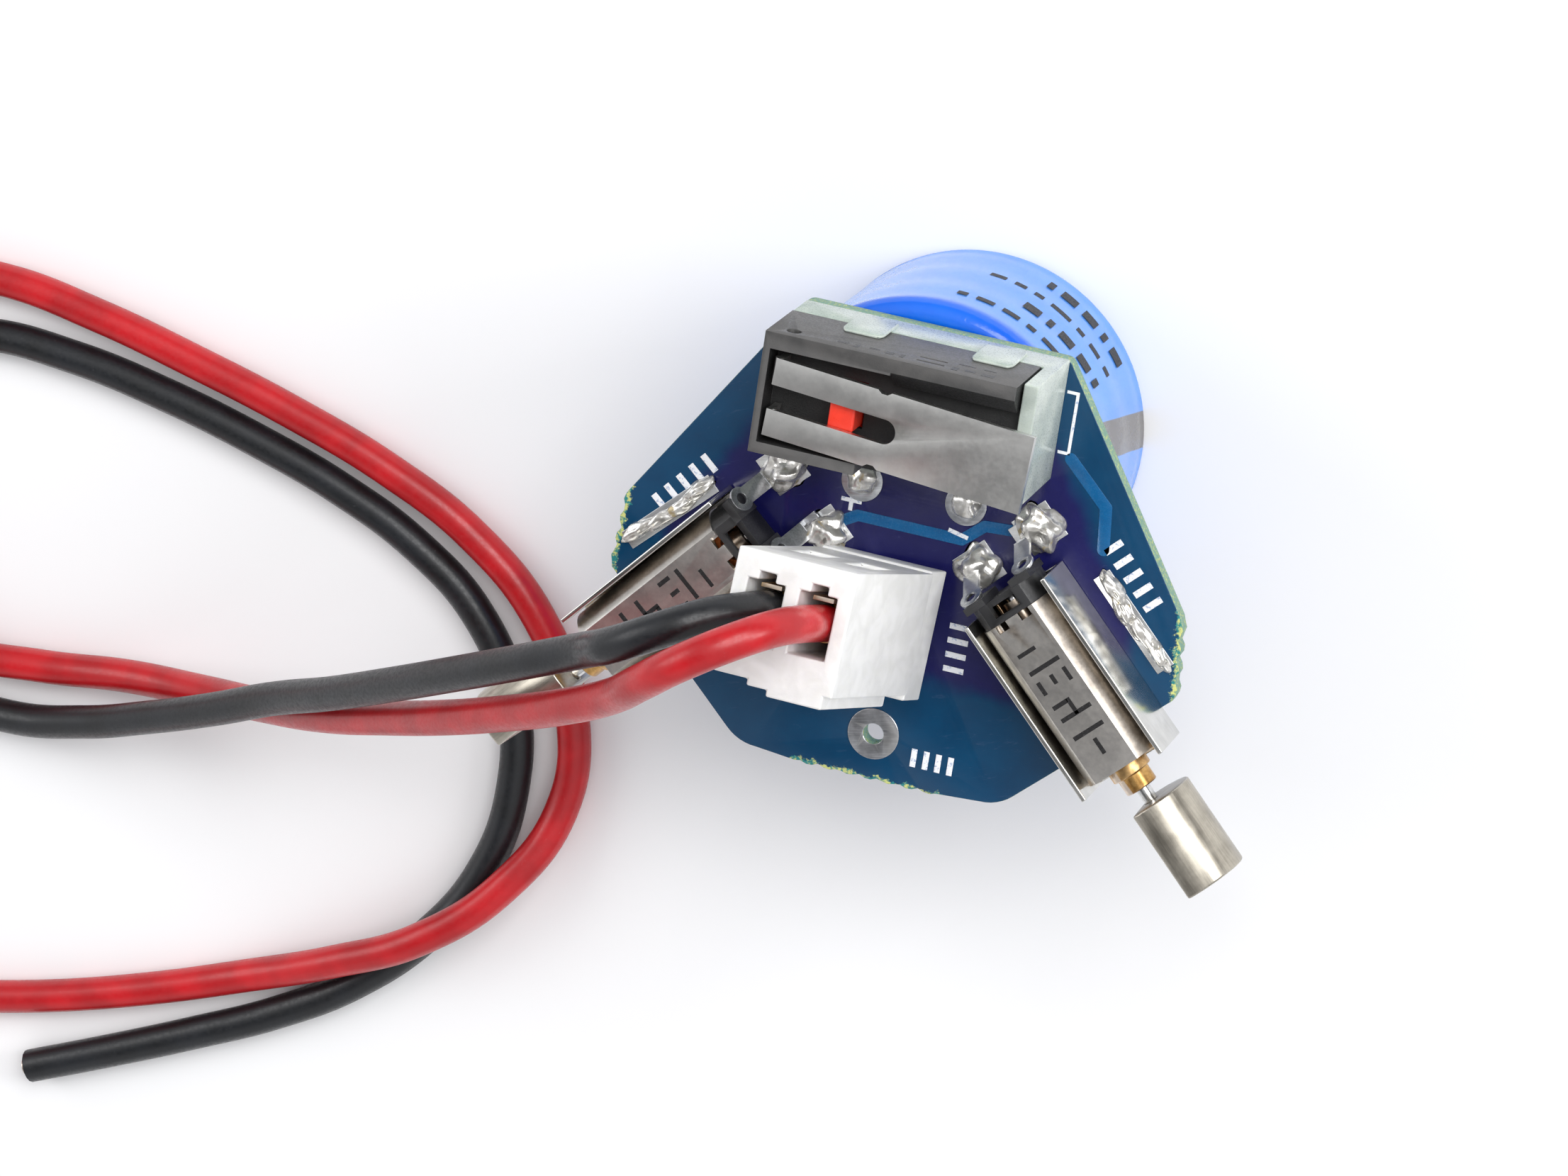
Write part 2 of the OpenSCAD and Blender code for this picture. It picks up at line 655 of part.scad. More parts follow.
module header_body() {
    color(white) on_connector() difference() {
        box([-2.75, -3.2, header_z0], [2.75, plug_back + 0.1, header_h]);
        for (side = [-1, 1])
            box([side * pitch / 2 - pin_w / 2, -pin_w / 2, -1],
                [side * pitch / 2 + pin_w / 2, pin_w / 2, header_h + 1]);
    }
}

module header_pins() {
    color([0.8, 0.78, 0.7]) on_connector() for (side = [-1, 1])
        box([side * pitch / 2 - pin_w / 2, -pin_w / 2, -1.4],
            [side * pitch / 2 + pin_w / 2, pin_w / 2, 9.4]);
}

module plug_housing() {
    color(white) on_connector() difference() {
        union() {
            box([-plug_w / 2, plug_front, plug_z0], [plug_w / 2, plug_back, plug_top]);
            box([-1.2, plug_front - 0.3, 4.5], [-0.1, plug_front + eps, plug_top]);
            box([-0.2, plug_front - 0.6, 4.5], [2.5, plug_front + eps, plug_top]);
        }
        for (side = [-1, 1]) translate([side * pitch / 2, 0, 0]) {
            box([-cavity_w / 2, -1.35, 4], [cavity_w / 2, 1.55, plug_top + 1]);
            box([-0.4, 1.5, 9], [0.4, 1.95, plug_top + 1]);
            box([-0.42, -0.42, 0], [0.42, 0.42, 5]);
            // window over the terminal's catch
            box([-0.7, plug_back - 0.2, 6.2], [0.7, plug_back + 1, 9]);
        }
    }
}

module plug_terminals() {
    color(brass) on_connector() for (side = [-1, 1]) translate([side * pitch / 2, 0, 0]) {
        box([-0.5, 0.75, 9.2], [0.5, 1.42, 9.45]);
        box([-0.5, 1.22, 9.2], [0.5, 1.42, 12.5]);
        difference() {
            box([-0.75, -0.8, 4.05], [0.75, 0.8, 9.7]);
            box([-0.45, -0.45, 3], [0.45, 0.45, 9.5]);
        }
        difference() {
            translate([0, 0, 9.7 - eps]) cylinder(r = 0.7, h = 1.7, $fn = 32);
            translate([0, 0, core_z0]) cylinder(r = core_r, h = 5, $fn = 32);
        }
    }
}

// Bare strands: in each crimp, and at each lead's cut end
module lead_cores() {
    color([0.75, 0.5, 0.3]) {
        on_connector() for (side = [-1, 1])
            translate([side * pitch / 2, 0, core_z0]) cylinder(r = core_r - eps, h = lead_z0 - core_z0 - 0.1);
        for (route = [black_route, red_route]) {
            end = route[len(route) - 1];
            step = end - route[len(route) - 2];
            translate(end) rotate([0, 90, atan2(step[1], step[0])]) cylinder(r = core_r, h = 0.25);
        }
    }
}

module lead_black() {
    color([0.06, 0.06, 0.07]) tube(black_route, lead_r);
}

module lead_red() {
    color([0.75, 0.05, 0.05]) tube(red_route, lead_r);
}

circuit_board();
board_traces();
solder_pads();
board_marks();
tail_pad();
solder_joints();
cap_sleeve();
cap_can();
cap_base();
cap_leads();
cap_cells();
on_switch() switch_case();
on_switch() switch_base();
switch_lever();
switch_plunger();
switch_blade();
switch_terminals();
motor_a("clip");  // motor_a_clip
motor_a("can");  // motor_a_can
motor_a("end_cap");  // motor_a_end_cap
motor_a("lugs");  // motor_a_lugs
motor_a("brushes");  // motor_a_brushes
motor_a("bearing");  // motor_a_bearing
motor_a("magnet");  // motor_a_magnet
motor_a("coil");  // motor_a_coil
motor_a("commutator");  // motor_a_commutator
motor_a("shaft");  // motor_a_shaft
motor_a("weight");  // motor_a_weight
motor_b("clip");  // motor_b_clip
motor_b("can");  // motor_b_can
motor_b("end_cap");  // motor_b_end_cap
motor_b("lugs");  // motor_b_lugs
motor_b("brushes");  // motor_b_brushes
motor_b("bearing");  // motor_b_bearing
motor_b("magnet");  // motor_b_magnet
motor_b("coil");  // motor_b_coil
motor_b("commutator");  // motor_b_commutator
motor_b("shaft");  // motor_b_shaft
motor_b("weight");  // motor_b_weight
header_body();
header_pins();
plug_housing();
plug_terminals();
lead_black();
lead_red();
lead_cores();
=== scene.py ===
"""Looks of the twin vibration-motor robot board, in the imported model's frame (metres, +Z up)."""

import json
import math

import bmesh
import bpy
from mathutils import Matrix, Quaternion, Vector, noise

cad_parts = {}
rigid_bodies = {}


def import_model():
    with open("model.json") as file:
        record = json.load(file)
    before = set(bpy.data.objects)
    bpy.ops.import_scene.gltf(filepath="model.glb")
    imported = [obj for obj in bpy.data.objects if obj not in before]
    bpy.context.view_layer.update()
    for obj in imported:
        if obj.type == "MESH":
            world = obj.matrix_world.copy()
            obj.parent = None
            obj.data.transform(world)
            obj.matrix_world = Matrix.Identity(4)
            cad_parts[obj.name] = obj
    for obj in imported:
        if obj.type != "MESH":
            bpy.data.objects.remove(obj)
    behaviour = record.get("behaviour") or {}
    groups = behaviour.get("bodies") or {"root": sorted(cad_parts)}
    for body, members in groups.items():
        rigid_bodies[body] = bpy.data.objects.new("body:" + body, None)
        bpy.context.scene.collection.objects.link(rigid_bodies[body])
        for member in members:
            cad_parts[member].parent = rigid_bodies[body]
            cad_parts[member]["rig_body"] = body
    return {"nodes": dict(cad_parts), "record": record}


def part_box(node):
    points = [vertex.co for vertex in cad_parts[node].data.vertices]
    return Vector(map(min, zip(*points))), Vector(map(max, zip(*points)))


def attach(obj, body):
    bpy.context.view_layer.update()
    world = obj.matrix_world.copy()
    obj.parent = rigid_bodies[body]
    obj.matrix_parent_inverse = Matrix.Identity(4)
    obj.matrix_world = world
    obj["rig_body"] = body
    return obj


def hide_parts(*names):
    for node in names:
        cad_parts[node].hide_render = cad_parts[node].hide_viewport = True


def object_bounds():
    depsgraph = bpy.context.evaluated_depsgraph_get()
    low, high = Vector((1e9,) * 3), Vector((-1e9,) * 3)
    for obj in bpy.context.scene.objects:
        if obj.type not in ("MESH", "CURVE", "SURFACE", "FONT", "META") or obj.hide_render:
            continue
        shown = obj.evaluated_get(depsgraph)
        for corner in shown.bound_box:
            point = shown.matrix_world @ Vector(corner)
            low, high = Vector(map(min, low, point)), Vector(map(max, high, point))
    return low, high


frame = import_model()
cad_box = [list(corner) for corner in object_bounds()]
scene = bpy.context.scene
MM = 0.001

# ---- places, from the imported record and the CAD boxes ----

record = frame["record"]
joints = {joint["name"]: joint for joint in record["behaviour"]["joints"]}
BOARD_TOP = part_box("circuit_board")[1][2] / MM
SLEEVE_TOP_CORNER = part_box("cap_sleeve")[1]
SLEEVE_RADIUS = SLEEVE_TOP_CORNER[0] / MM
SLEEVE_HEIGHT = SLEEVE_TOP_CORNER[2] / MM

# The board's own zero and its outline round it, in millimetres
BOARD = Vector((0.3, -3.65, BOARD_TOP))
BOARD_OUTLINE = [
    (6.4, 10.92), (-6.4, 10.92), (-13.35, 0), (-13.65, -4),
    (-6.45, -11.04), (6.45, -11.04), (13.65, -4), (13.35, 0),
]
SWITCH_Y = 8.05
SWITCH_BACK = 2.9
CAP_LEAD_HALF = 2.54
# What a motor's printed face stands on: the gap over the board, the clip and the can
CAN_TOP = 0.06 + 0.25 + 3.2
INK_SUNK = 0.02
INK_PROUD = 0.012


def motor_frame(joint, flip):
    """Matrix from a motor's millimetres (+X along its shaft, zero on the board) to the row frame."""
    pos = Vector(joint["pos_m"])
    x = Vector(joint["axis"]).normalized()
    z = Vector((0, 0, 1))
    y = z.cross(x) * (-1 if flip else 1)
    m = Matrix((x, y, z)).transposed().to_4x4()
    m.translation = Vector((pos.x, pos.y, BOARD_TOP * MM))
    return m @ Matrix.Scale(MM, 4)


motor_a = motor_frame(joints["motor_a_spin"], True)
motor_b = motor_frame(joints["motor_b_spin"], False)
board_mm = Matrix.Scale(MM, 4) @ Matrix.Translation(BOARD)
switch_mm = board_mm @ Matrix.Translation((0, SWITCH_Y, 0))

# ---- camera and cords ----

CAMERA_AT = (0.07517, 0.09599, 0.31802)
CAMERA_AIM = (-0.00507, -0.00667, 0.0125)
CAMERA_ROLL = math.radians(-130.834)

camera_data = bpy.data.cameras.new("camera")
camera_data.lens = 162.75
camera_data.sensor_width = 36
camera_data.clip_start = 0.01
camera = bpy.data.objects.new("camera", camera_data)
scene.collection.objects.link(camera)
camera.location = CAMERA_AT
aim = Vector(CAMERA_AIM) - camera.location
camera.rotation_mode = "QUATERNION"
camera.rotation_quaternion = aim.to_track_quat("-Z", "Y") @ Quaternion((0, 0, 1), CAMERA_ROLL)
scene.camera = camera

# The leads' centrelines in millimetres, from inside the plug to the cut end
BLACK_ROUTE = [
    (-2.4, -3.85, 24.2), (-2.55, -3.44, 25.84), (-3.15, -3.34, 27.08), (-4.26, -3.54, 28.21),
    (-5.62, -4.16, 28.91), (-8.3, -5.8, 28.41), (-10.1, -7.06, 26.36), (-13.63, -9.16, 24),
    (-17.69, -11.61, 20.97), (-21.92, -14.21, 17.44), (-26.17, -16.78, 13.75), (-30.14, -19, 10.35),
    (-34.09, -21.31, 7.65), (-38.2, -23.45, 5.2), (-42.4, -25.35, 3.1), (-47, -26.65, 1.5),
    (-51.8, -26.45, 0.9), (-56.4, -24.55, 0.9), (-59.9, -21.05, 0.9), (-61, -16.45, 0.9),
    (-59.5, -11.85, 0.9),
    (-55.8, -8.75, 0.9), (-51, -7.35, 0.9), (-46, -7.45, 0.9), (-41, -8.25, 0.9), (-36, -9.45, 0.9),
    (-31.2, -10.95, 0.9), (-27, -12.85, 0.9), (-23.4, -15.55, 0.9), (-21, -19.45, 0.9), (-20.3, -24.05, 0.9),
    (-21.2, -28.65, 0.9), (-23.6, -32.75, 0.9), (-27, -36.25, 0.9), (-31, -38.95, 0.9), (-35.2, -41.15, 0.9),
    (-39.5, -43.25, 0.9), (-43.8, -45.25, 0.9),
]
RED_ROUTE = [
    (0.2, -3.85, 24.4), (0.05, -3.44, 26.04), (-0.05, -2.93, 28.1), (-0.55, -2.81, 29.47),
    (-1.96, -3.32, 31.09), (-4.09, -4.69, 31.64), (-6.34, -6.66, 30.16), (-8.15, -8.39, 27.82),
    (-11.18, -10.47, 25.06), (-14.96, -12.75, 21.57), (-19.04, -15.05, 17.85), (-23.21, -17.24, 13.93),
    (-27.43, -19.24, 10.25), (-31.8, -20.85, 6.6), (-36.3, -22.05, 3.6), (-40.9, -22.85, 1.9),
    (-45.6, -23.65, 1.3), (-50.2, -23.75, 1.6), (-54.6, -22.05, 2.3), (-58.2, -18.95, 2.8),
    (-60.9, -15.05, 2.8), (-62.1, -10.55, 1.9), (-59.8, -6.65, 1), (-55.4, -4.85, 0.9), (-50.2, -4.35, 0.9),
    (-45, -5.05, 0.9), (-39.6, -6.25, 0.9), (-34.2, -7.65, 0.9), (-29, -9.35, 0.9), (-24.2, -11.65, 0.9),
    (-20.2, -15.05, 0.9), (-17.8, -19.55, 0.9), (-17.6, -24.55, 1.1), (-19.8, -28.95, 2.3),
    (-23.4, -32.35, 2.8),
    (-27.9, -34.95, 2.1), (-32.8, -37.35, 1), (-38, -39.45, 0.9), (-43.4, -41.25, 0.9), (-48.8, -42.65, 0.9),
]
LEAD_RADIUS = 0.00085


def lead(name, node, route):
    """A round lead along its route. The radius is on the points, so that the bounds count it."""
    curve = bpy.data.curves.new(name, "CURVE")
    curve.dimensions = "3D"
    curve.bevel_depth = 1.0
    curve.bevel_resolution = 6
    curve.resolution_u = 10
    curve.use_fill_caps = True
    spline = curve.splines.new("BEZIER")
    spline.bezier_points.add(len(route) - 1)
    for point, place in zip(spline.bezier_points, route):
        point.co = Vector(place) * MM
        point.handle_left_type = point.handle_right_type = "AUTO"
        point.radius = LEAD_RADIUS
    piece = bpy.data.objects.new(name, curve)
    scene.collection.objects.link(piece)
    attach(piece, "plug")
    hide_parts(node)
    return piece


black_lead = lead("black_lead", "lead_black", BLACK_ROUTE)
red_lead = lead("red_lead", "lead_red", RED_ROUTE)

# ---- materials ----


class Surface:
    """A node material being made. Coordinates are millimetres in the row frame."""

    def __init__(self, name):
        self.material = bpy.data.materials.new(name)
        self.material.use_nodes = True
        self.tree = self.material.node_tree
        self.tree.nodes.clear()
        place = self.add("ShaderNodeTexCoord").outputs["Object"]
        self.place = self.vector("SCALE", place, Scale=1 / MM)

    def add(self, kind, **settings):
        made = self.tree.nodes.new(kind)
        for key, value in settings.items():
            setattr(made, key, value)
        return made

    def put(self, socket, value):
        if isinstance(value, bpy.types.NodeSocket):
            self.tree.links.new(value, socket)
        elif isinstance(value, tuple) and len(value) == 3 and socket.type == "RGBA":
            socket.default_value = (*value, 1)
        else:
            socket.default_value = value

    def vector(self, operation, a, b=None, **named):
        made = self.add("ShaderNodeVectorMath", operation=operation)
        self.put(made.inputs[0], a)
        if b is not None:
            self.put(made.inputs[1], b)
        for key, value in named.items():
            self.put(made.inputs[key], value)
        return made.outputs["Value" if operation == "DOT_PRODUCT" else "Vector"]

    def math(self, operation, a, b=None):
        made = self.add("ShaderNodeMath", operation=operation)
        self.put(made.inputs[0], a)
        if b is not None:
            self.put(made.inputs[1], b)
        return made.outputs[0]

    def stretch(self, value, low, high, to_low=0.0, to_high=1.0):
        """The value, eased from low..high to to_low..to_high and held beyond them."""
        made = self.add("ShaderNodeMapRange", interpolation_type="SMOOTHSTEP")
        for socket, number in zip(made.inputs, (value, low, high, to_low, to_high)):
            self.put(socket, number)
        return made.outputs[0]

    def noise(self, scale, detail=3.0, rough=0.55, warp=0.0, place=None):
        made = self.add("ShaderNodeTexNoise")
        self.put(made.inputs["Vector"], self.place if place is None else place)
        self.put(made.inputs["Scale"], scale)
        self.put(made.inputs["Detail"], detail)
        self.put(made.inputs["Roughness"], rough)
        self.put(made.inputs["Distortion"], warp)
        return made.outputs[0]

    def stretched_place(self, along, factor):
        """Coordinates squeezed along a direction, so that noise runs in streaks along it."""
        along = Vector(along).normalized()
        part = self.vector("DOT_PRODUCT", self.place, tuple(along))
        back = self.vector("SCALE", tuple(along), Scale=self.math("MULTIPLY", part, factor - 1))
        return self.vector("ADD", self.place, back)

    def mix(self, factor, a, b):
        """Colour a where the factor is 0 and b where it is 1."""
        made = self.add("ShaderNodeMix", data_type="RGBA")
        # a Mix node's two colours are its sockets 6 and 7, and its colour result is output 2
        self.put(made.inputs[0], factor)
        self.put(made.inputs[6], a)
        self.put(made.inputs[7], b)
        return made.outputs[2]

    def bump(self, height, depth, strength=1.0, after=None):
        """A bump of that depth in millimetres."""
        made = self.add("ShaderNodeBump")
        self.put(made.inputs["Height"], height)
        self.put(made.inputs["Distance"], depth * MM)
        self.put(made.inputs["Strength"], strength)
        if after is not None:
            self.put(made.inputs["Normal"], after)
        return made.outputs[0]

    def painted_edge_highlight(self):
        """1 on sharp outer edges, 0 on flat ground: the mask for painted edge highlights."""
        return self.stretch(self.add("ShaderNodeNewGeometry").outputs["Pointiness"], 0.52, 0.6)

    def done(self, **sockets):
        shader = self.add("ShaderNodeBsdfPrincipled")
        for key, value in sockets.items():
            self.put(shader.inputs[key.replace("_", " ")], value)
        out = self.add("ShaderNodeOutputMaterial")
        self.tree.links.new(shader.outputs[0], out.inputs[0])
        return self.material


def colour(r, g, b):
    """Linear colour from screen values of 0 to 255."""
    return tuple(
        ((c / 255 + 0.055) / 1.055) ** 2.4 if c > 10 else c / 255 / 12.92
        for c in (r, g, b)
    )


def solder_mask():
    """Blue mask: paler over the poured copper, with scuffs, and fibres showing at the torn tabs."""
    s = Surface("solder_mask")
    x, y = BOARD.x, BOARD.y
    # how far inside each side of the outline a place is, in millimetres
    edges = []
    for (ax, ay), (bx, by) in zip(BOARD_OUTLINE, BOARD_OUTLINE[1:] + BOARD_OUTLINE[:1]):
        across = Vector((ay - by, bx - ax, 0)).normalized()
        offset = -(across.x * (ax + x) + across.y * (ay + y))
        edges.append(s.math("ADD", s.vector("DOT_PRODUCT", s.place, tuple(across)), offset))
    inward = edges[0]
    for away in edges[1:]:
        inward = s.math("MINIMUM", inward, away)
    wander = s.math("MULTIPLY", s.math("SUBTRACT", s.noise(0.35, 2), 0.5), 1.6)
    copper_rim = s.stretch(s.math("ADD", inward, wander), 1.5, 2.6, 1.0, 0.0)
    axes = s.add("ShaderNodeSeparateXYZ")
    s.put(axes.inputs[0], s.place)
    low = s.stretch(s.math("ADD", axes.outputs[1], wander), y - 6.6, y - 5.4, 1.0, 0.0)
    copper = s.math("MAXIMUM", copper_rim, low)
    cloud = s.noise(0.5, 3)
    bare = s.mix(cloud, colour(18, 18, 70), colour(32, 32, 94))
    poured = s.mix(cloud, colour(0, 50, 84), colour(0, 70, 108))
    shade = s.mix(copper, bare, poured)
    fine = s.noise(9, 4, 0.6)
    scuffs = s.stretch(s.noise(2.2, 5, 0.7, 1.5, s.stretched_place((1, 0.4, 0), 0.25)), 0.6, 0.75)
    shade = s.mix(s.math("MULTIPLY", scuffs, 0.1), shade, colour(120, 130, 170))
    # torn along both short sides, and at the tab in the middle of the -Y side
    from_middle = s.math("ABSOLUTE", s.math("SUBTRACT", axes.outputs[0], x))
    beside_tab = s.stretch(from_middle, 3.7, 4.3, 0.0, 1.0)
    torn = s.math("MINIMUM", s.math("MINIMUM", edges[2], edges[6]), s.math("ADD", edges[4], beside_tab))
    fray = s.math("ADD", torn, s.math("MULTIPLY", s.math("SUBTRACT", s.noise(2.6, 4, 0.7), 0.5), 1.1))
    fibres = s.mix(s.stretch(s.noise(5, 3), 0.42, 0.6), colour(40, 130, 130), colour(206, 210, 130))
    shade = s.mix(s.stretch(fray, -0.12, 0.02, 1.0, 0.0), shade, fibres)
    relief = s.bump(copper, 0.02)
    relief = s.bump(fine, 0.006, 0.6, relief)
    return s.done(
        Base_Color=shade,
        Roughness=s.stretch(fine, 0.3, 0.7, 0.14, 0.26),
        Normal=relief,
        IOR=1.5,
    )


def board_edge():
    """Cut laminate: layers of glass with pale flecks."""
    s = Surface("board_edge")
    layers = s.noise(6, 3, 0.6, 0.0, s.stretched_place((0, 0, 1), 4.0))
    flecks = s.stretch(s.noise(7, 4, 0.7), 0.5, 0.66)
    shade = s.mix(layers, colour(70, 128, 128), colour(150, 178, 150))
    shade = s.mix(flecks, shade, colour(196, 200, 118))
    return s.done(
        Base_Color=shade,
        Roughness=0.62,
        Normal=s.bump(layers, 0.05, 0.8),
        Subsurface_Weight=0.15,
        Subsurface_Radius=(0.0006, 0.0008, 0.0005),
    )


def trace_mask():
    """Mask over the copper tracks."""
    s = Surface("trace_mask")
    cloud = s.noise(1.2, 3)
    return s.done(
        Base_Color=s.mix(cloud, colour(4, 76, 128), colour(16, 104, 158)),
        Roughness=s.stretch(s.noise(8, 3), 0.3, 0.7, 0.16, 0.32),
        Normal=s.bump(s.noise(7, 3), 0.006, 0.5),
    )


def white_ink():
    """The board's printed marks, thin in places."""
    s = Surface("white_ink")
    gaps = s.stretch(s.noise(5, 4, 0.7), 0.36, 0.46)
    return s.done(
        Base_Color=s.mix(gaps, colour(176, 188, 212), colour(240, 242, 246)),
        Roughness=s.stretch(s.noise(9, 3), 0.3, 0.7, 0.45, 0.65),
        Normal=s.bump(s.noise(12, 3), 0.01, 0.7),
    )


def metal(name, dark, light, rough, streak=None, pits=0.02, stain=None):
    """Bare metal with cloudy tone, streaks along a direction, small pits, and painted highlights that
    lighten its sharp edges.
    """
    s = Surface(name)
    cloud = s.noise(0.9, 4, 0.6)
    place = s.stretched_place(streak, 0.06) if streak else s.place
    lines = s.noise(14 if streak else 5, 3, 0.6, 0.0, place)
    tone = s.math("ADD", s.math("MULTIPLY", cloud, 0.6), s.math("MULTIPLY", lines, 0.4))
    shade = s.mix(s.stretch(tone, 0.25, 0.75), dark, light)
    if stain:
        blotches = s.stretch(s.noise(1.6, 4, 0.7, 0.5), 0.56, 0.7)
        shade = s.mix(s.math("MULTIPLY", blotches, 0.45), shade, stain)
    # painted highlight: sharp edges are lightened half way towards near white
    shade = s.mix(s.math("MULTIPLY", s.painted_edge_highlight(), 0.5), shade, (0.9, 0.9, 0.88))
    relief = s.bump(lines, 0.0012, 0.3)
    relief = s.bump(s.noise(8, 4, 0.65), pits, 0.06, relief)
    return s.done(
        Base_Color=shade,
        Metallic=1.0,
        Roughness=s.stretch(tone, 0.3, 0.7, rough * 0.92, rough * 1.1),
        Normal=relief,
    )


def solder():
    """Bright solder with a little amber flux."""
    s = Surface("solder")
    flux = s.stretch(s.noise(1.1, 3, 0.6, 0.8), 0.6, 0.68)
    grain = s.noise(1.8, 2, 0.5, 0.4)
    shade = s.mix(s.stretch(grain, 0.3, 0.7), colour(196, 193, 186), colour(246, 244, 240))
    shade = s.mix(s.math("MULTIPLY", flux, 0.7), shade, colour(150, 124, 24))
    return s.done(
        Base_Color=shade,
        Metallic=s.math("SUBTRACT", 0.72, s.math("MULTIPLY", flux, 0.4)),
        Roughness=s.stretch(grain, 0.3, 0.75, 0.16, 0.3),
        Normal=s.bump(grain, 0.05, 0.4),
    )


def moulded(name, dark, light, rough, grain=0.01, sub=0.0, coat=0.0, edge=0.25):
    """Moulded plastic: fine grain, slight flow marks and painted highlights on sharp edges."""
    s = Surface(name)
    flow = s.noise(0.7, 3, 0.5, 0.6)
    fine = s.noise(11, 4, 0.6)
    shade = s.mix(s.stretch(flow, 0.3, 0.7), dark, light)
    # painted highlight: a lighter copy of the plastic on sharp edges, mixed in as strongly as edge
    painted_highlight = tuple(min(1.0, c * 2.2 + 0.06) for c in light)
    shade = s.mix(s.math("MULTIPLY", s.painted_edge_highlight(), edge), shade, painted_highlight)
    return s.done(
        Base_Color=shade,
        Roughness=s.stretch(fine, 0.3, 0.7, rough * 0.8, rough * 1.2),
        Normal=s.bump(fine, grain, 0.6),
        Subsurface_Weight=sub,
        Subsurface_Radius=(0.0012, 0.0012, 0.0009),
        Coat_Weight=coat,
        Coat_Roughness=0.12,
    )


def vinyl(name, dark, light, rough, coat):
    """Extruded vinyl: faint draw lines, soft waves and dust."""
    s = Surface(name)
    waves = s.noise(0.45, 3, 0.5)
    fine = s.noise(6, 4, 0.6)
    dust = s.stretch(s.noise(3.5, 5, 0.75), 0.62, 0.74)
    shade = s.mix(s.stretch(waves, 0.3, 0.7), dark, light)
    shade = s.mix(s.math("MULTIPLY", dust, 0.05), shade, (0.5, 0.5, 0.52))
    relief = s.bump(waves, 0.03, 0.4)
    return s.done(
        Base_Color=shade,
        Roughness=s.stretch(fine, 0.3, 0.7, rough * 0.8, rough * 1.25),
        Normal=s.bump(fine, 0.008, 0.5, relief),
        Coat_Weight=coat,
        Coat_Roughness=0.2,
    )


def sleeve_film():
    """Heat-shrunk film: deeper blue over the rim, paler on the wall where a painted reflection of the bright
    floor lightens the film's blue, with the grey polarity band.
    """
    s = Surface("sleeve_film")
    axes = s.add("ShaderNodeSeparateXYZ")
    s.put(axes.inputs[0], s.place)
    height = axes.outputs[2]
    around = s.math("ARCTAN2", axes.outputs[1], axes.outputs[0])
    # the band leans a little round the wall as it rises
    skew = s.math("SUBTRACT", around, s.math("MULTIPLY", height, math.radians(1.1)))
    band = s.math("ABSOLUTE", s.math("SUBTRACT", skew, math.radians(8.5)))
    band = s.stretch(band, math.radians(6.0), math.radians(6.6), 1.0, 0.0)
    cloud = s.noise(0.5, 3)
    # the wall's paler blue is the film's blue with a painted reflection of the bright floor in it; the rim
    # keeps the deeper blue
    wall = s.mix(cloud, colour(78, 140, 232), colour(104, 162, 242))
    rim = s.mix(cloud, colour(10, 90, 214), colour(22, 112, 232))
    shade = s.mix(s.stretch(height, 9.9, 11.0), wall, rim)
    shade = s.mix(s.math("MULTIPLY", band, s.stretch(height, 10.9, 10.7)), shade, colour(104, 100, 98))
    wrinkles = s.noise(1.4, 3, 0.5, 0.4, s.stretched_place((0, 0, 1), 0.35))
    relief = s.bump(wrinkles, 0.06, 0.5)
    return s.done(
        Base_Color=shade,
        Roughness=s.stretch(s.noise(5, 3), 0.3, 0.7, 0.14, 0.26),
        Normal=s.bump(s.noise(9, 3), 0.005, 0.5, relief),
        Coat_Weight=0.3,
        Coat_Roughness=0.06,
    )


def ink(name, tone, rough=0.5):
    """Dark print with small gaps."""
    s = Surface(name)
    gaps = s.stretch(s.noise(10, 4, 0.7), 0.34, 0.44)
    return s.done(
        Base_Color=s.mix(gaps, tuple(c * 2.6 + 0.02 for c in tone), tone),
        Roughness=s.stretch(s.noise(12, 3), 0.3, 0.7, rough * 0.8, rough * 1.2),
        Normal=s.bump(s.noise(14, 3), 0.004, 0.5),
    )


def winding():
    """Fine copper turns."""
    s = Surface("winding")
    wires = s.add("ShaderNodeTexWave", wave_type="BANDS", bands_direction="Z")
    s.put(wires.inputs["Vector"], s.place)
    s.put(wires.inputs["Scale"], 6.0)
    s.put(wires.inputs["Distortion"], 0.6)
    return s.done(
        Base_Color=s.mix(wires.outputs[0], colour(120, 52, 20), colour(214, 122, 62)),
        Metallic=0.9,
        Roughness=0.35,
        Normal=s.bump(wires.outputs[0], 0.04, 0.7),
    )


axis_a = Vector(joints["motor_a_spin"]["axis"])
axis_b = Vector(joints["motor_b_spin"]["axis"])
silver = (colour(186, 185, 180), colour(234, 233, 228))
nickel = (colour(150, 140, 130), colour(206, 196, 184))
satin = (colour(150, 143, 130), colour(206, 199, 184))

MASK = solder_mask()
EDGE = board_edge()
TRACE = trace_mask()
WHITE_INK = white_ink()
SOLDER = solder()
TIN = metal("tin", colour(150, 152, 156), colour(232, 234, 238), 0.3, (1, 0.25, 0), 0.03)
LEVER = metal("lever_steel", colour(152, 152, 149), colour(184, 184, 180), 0.34, None, 0.002)
BRASS = metal("contact_brass", colour(150, 104, 52), colour(226, 184, 116), 0.3)
CLIP_A = metal("clip_steel_a", *silver, 0.2, tuple(axis_a), 0.01)
CLIP_B = metal("clip_steel_b", *silver, 0.2, tuple(axis_b), 0.01)
CAN_A = metal("can_nickel_a", *nickel, 0.32, None, 0.02, colour(132, 120, 108))
CAN_B = metal("can_nickel_b", *nickel, 0.32, None, 0.02, colour(132, 120, 108))
SHAFT = metal("shaft_steel", colour(160, 160, 160), colour(236, 236, 236), 0.16)
